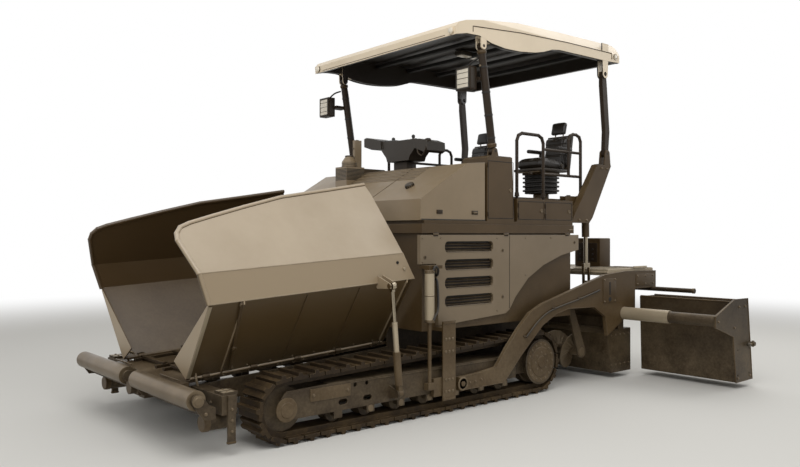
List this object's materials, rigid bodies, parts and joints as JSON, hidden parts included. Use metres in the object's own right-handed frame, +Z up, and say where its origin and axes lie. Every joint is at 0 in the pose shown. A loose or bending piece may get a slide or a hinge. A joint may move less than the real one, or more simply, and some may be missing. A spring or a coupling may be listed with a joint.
{
  "type": "asphalt paver",
  "caption": "Tracked asphalt paver with folding hopper wings, augers, an extending screed on tow arms, operator deck with twin seats, and a folding roof.",
  "frame": {"origin": "centre of the bounding box on the ground under the tracks", "axes": "+X forwards to the hopper, +Y to the machine's left, +Z up"},
  "size_m": [5.84, 4.92, 3.759],
  "materials": {
    "light_paint": "semi-gloss, dusty",
    "roof_shell": "moulded shell, satin",
    "frame_paint": "semi-gloss, dusty",
    "dark_paint": "satin",
    "bare_steel": "worn, smooth",
    "track_steel": "worn, dusty",
    "seat_vinyl": "grained vinyl",
    "console_plastic": "grained",
    "engine_iron": "rough"
  },
  "bodies": {
    "chassis": {"main_frame": "dark_paint", "housing": "frame_paint", "engine_block": "engine_iron", "hood": "light_paint", "deck": "frame_paint", "side_panel_left": "light_paint", "side_panel_right": "light_paint", "track_left": "track_steel", "track_right": "track_steel", "track_frame_left": "dark_paint", "track_frame_right": "dark_paint", "ram_bracket_left": "dark_paint", "ram_bracket_right": "dark_paint", "hopper_floor": "bare_steel", "slat_conveyors": "bare_steel", "front_bumper": "dark_paint", "tow_guide_left": "frame_paint", "tow_guide_right": "frame_paint", "railings": "dark_paint", "rear_bracket_posts": "frame_paint", "auger_carrier": "dark_paint"},
    "push_beam": {"push_beam": "dark_paint"},
    "screed": {"tow_arms": "frame_paint", "basic_screed": "frame_paint", "screed_walkway": "bare_steel"},
    "lift_barrels": {"lift_barrels": "frame_paint"},
    "lift_rods": {"lift_rods": "bare_steel"},
    "console": {"console": "console_plastic"},
    "roof_front_posts": {"roof_front_posts": "dark_paint"},
    "roof": {"roof": "roof_shell"},
    "roof_rear_posts": {"roof_rear_posts": "dark_paint"},
    "wing_left": {"wing_left": "light_paint"},
    "ram_barrel_left": {"wing_barrel_left": "frame_paint"},
    "ram_sleeve_left": {"wing_sleeve_left": "bare_steel"},
    "ram_rod_left": {"wing_rod_left": "bare_steel"},
    "push_roller_left": {"push_roller_left": "bare_steel"},
    "auger_left": {"auger_left": "bare_steel"},
    "tow_head_left": {"tow_head_left": "frame_paint"},
    "extension_left": {"screed_extension_left": "frame_paint"},
    "guide_tube_left": {"guide_tube_left": "bare_steel"},
    "seat_left": {"seat_left": "seat_vinyl"},
    "wing_right": {"wing_right": "light_paint"},
    "ram_barrel_right": {"wing_barrel_right": "frame_paint"},
    "ram_sleeve_right": {"wing_sleeve_right": "bare_steel"},
    "ram_rod_right": {"wing_rod_right": "bare_steel"},
    "push_roller_right": {"push_roller_right": "bare_steel"},
    "auger_right": {"auger_right": "bare_steel"},
    "tow_head_right": {"tow_head_right": "frame_paint"},
    "extension_right": {"screed_extension_right": "frame_paint"},
    "guide_tube_right": {"guide_tube_right": "bare_steel"},
    "seat_right": {"seat_right": "seat_vinyl"}
  },
  "joints": [
    {"name": "wing_left_hinge", "type": "hinge", "parent": "chassis", "child": "wing_left", "pos_m": [0.755, 0.64, 0.61], "axis": [0.9981, 0, -0.061], "range_deg": [-32, 8]},
    {"name": "ram_left_foot", "type": "hinge", "parent": "chassis", "child": "ram_barrel_left", "pos_m": [1.07782, 1.28, 0.26966], "axis": [0.9981, 0, -0.061], "range_deg": [-21.7, 5.5]},
    {"name": "ram_left_stage1", "type": "slide", "parent": "ram_barrel_left", "child": "ram_sleeve_left", "axis": [0.061, -0.0331, 0.9976], "range_m": [-0.187, 0.047]},
    {"name": "ram_left_stage2", "type": "slide", "parent": "ram_sleeve_left", "child": "ram_rod_left", "axis": [0.061, -0.0331, 0.9976], "range_m": [-0.187, 0.047]},
    {"name": "wing_right_hinge", "type": "hinge", "parent": "chassis", "child": "wing_right", "pos_m": [0.755, -0.64, 0.61], "axis": [-0.9981, 0, 0.061], "range_deg": [-32, 8]},
    {"name": "ram_right_foot", "type": "hinge", "parent": "chassis", "child": "ram_barrel_right", "pos_m": [1.07782, -1.28, 0.26966], "axis": [-0.9981, 0, 0.061], "range_deg": [-21.7, 5.5]},
    {"name": "ram_right_stage1", "type": "slide", "parent": "ram_barrel_right", "child": "ram_sleeve_right", "axis": [0.061, 0.0331, 0.9976], "range_m": [-0.187, 0.047]},
    {"name": "ram_right_stage2", "type": "slide", "parent": "ram_sleeve_right", "child": "ram_rod_right", "axis": [0.061, 0.0331, 0.9976], "range_m": [-0.187, 0.047]},
    {"name": "push_beam_pivot", "type": "hinge", "parent": "chassis", "child": "push_beam", "pos_m": [2.732, 0, 0.34], "axis": [0, 0, 1], "range_deg": [-1.5, 1.5]},
    {"name": "push_roller_left_spin", "type": "hinge", "parent": "push_beam", "child": "push_roller_left", "pos_m": [2.848, 0.6, 0.44], "axis": [0, 1, 0], "continuous": true},
    {"name": "push_roller_right_spin", "type": "hinge", "parent": "push_beam", "child": "push_roller_right", "pos_m": [2.848, -0.6, 0.44], "axis": [0, 1, 0], "continuous": true},
    {"name": "auger_left_spin", "type": "hinge", "parent": "chassis", "child": "auger_left", "pos_m": [-1.67, 0.6, 0.33], "axis": [0, 1, 0], "continuous": true},
    {"name": "auger_right_spin", "type": "hinge", "parent": "chassis", "child": "auger_right", "pos_m": [-1.67, -0.6, 0.33], "axis": [0, 1, 0], "continuous": true},
    {"name": "tow_left_lift", "type": "slide", "parent": "chassis", "child": "tow_head_left", "axis": [0, 0, 1], "range_m": [-0.03, 0.1]},
    {"name": "tow_right_lift", "type": "slide", "parent": "chassis", "child": "tow_head_right", "axis": [0, 0, 1], "range_m": [-0.03, 0.1]},
    {"name": "screed_lift", "type": "hinge", "parent": "tow_head_left", "child": "screed", "pos_m": [0.3, 0, 0.25], "axis": [0, 1, 0], "range_deg": [-1, 8]},
    {"name": "lift_barrel_swing", "type": "hinge", "parent": "chassis", "child": "lift_barrels", "pos_m": [-1.86, 0, 1.99], "axis": [0, 1, 0], "range_deg": [-11, 1.4]},
    {"name": "lift_rod_slide", "type": "slide", "parent": "lift_barrels", "child": "lift_rods", "axis": [0.022, 0, 0.9998], "range_m": [-0.04, 0.31]},
    {"name": "extension_left_slide", "type": "slide", "parent": "screed", "child": "extension_left", "axis": [0, -1, 0], "range_m": [0, 1.1]},
    {"name": "guide_tube_left_slide", "type": "slide", "parent": "screed", "child": "guide_tube_left", "axis": [0, -1, 0], "range_m": [0, 0.56]},
    {"name": "extension_right_slide", "type": "slide", "parent": "screed", "child": "extension_right", "axis": [0, 1, 0], "range_m": [0, 1.1]},
    {"name": "guide_tube_right_slide", "type": "slide", "parent": "screed", "child": "guide_tube_right", "axis": [0, 1, 0], "range_m": [0, 0.56]},
    {"name": "seat_left_swivel", "type": "hinge", "parent": "chassis", "child": "seat_left", "pos_m": [-1.61, 0.6, 2.3], "axis": [0, 0, 1], "range_deg": [-90, 90]},
    {"name": "seat_right_swivel", "type": "hinge", "parent": "chassis", "child": "seat_right", "pos_m": [-1.61, -0.6, 2.3], "axis": [0, 0, 1], "range_deg": [-90, 90]},
    {"name": "console_slide", "type": "slide", "parent": "chassis", "child": "console", "axis": [0, 1, 0], "range_m": [0, 0.6]},
    {"name": "roof_fold", "type": "hinge", "parent": "chassis", "child": "roof_front_posts", "pos_m": [-0.25, 0, 2.41], "axis": [0, 1, 0], "range_deg": [0, 60]},
    {"name": "roof_tilt", "type": "hinge", "parent": "roof_front_posts", "child": "roof", "pos_m": [-0.09, 0, 3.4], "axis": [0, 1, 0], "range_deg": [-57.5, 0]},
    {"name": "roof_rear_fold", "type": "hinge", "parent": "chassis", "child": "roof_rear_posts", "pos_m": [-2.1, 0, 2.51], "axis": [0, 1, 0], "range_deg": [0, 65]}
  ],
  "couplings": [
    {"joint": "ram_left_foot", "follows": "wing_left_hinge", "ratio": 0.6744},
    {"joint": "ram_left_stage1", "follows": "wing_left_hinge", "m_per_rad": 0.33425},
    {"joint": "ram_left_stage2", "follows": "wing_left_hinge", "m_per_rad": 0.33425},
    {"joint": "ram_right_foot", "follows": "wing_right_hinge", "ratio": 0.6744},
    {"joint": "ram_right_stage1", "follows": "wing_right_hinge", "m_per_rad": 0.33425},
    {"joint": "ram_right_stage2", "follows": "wing_right_hinge", "m_per_rad": 0.33425},
    {"joint": "tow_right_lift", "follows": "tow_left_lift", "ratio": 1},
    {"joint": "lift_barrel_swing", "follows": "screed_lift", "ratio": -1.35},
    {"joint": "lift_rod_slide", "follows": "screed_lift", "m_per_rad": 2},
    {"joint": "guide_tube_left_slide", "follows": "extension_left_slide", "ratio": 0.5},
    {"joint": "guide_tube_right_slide", "follows": "extension_right_slide", "ratio": 0.5},
    {"joint": "roof_tilt", "follows": "roof_fold", "ratio": -0.9546},
    {"joint": "roof_rear_fold", "follows": "roof_fold", "ratio": 1.0798}
  ]
}
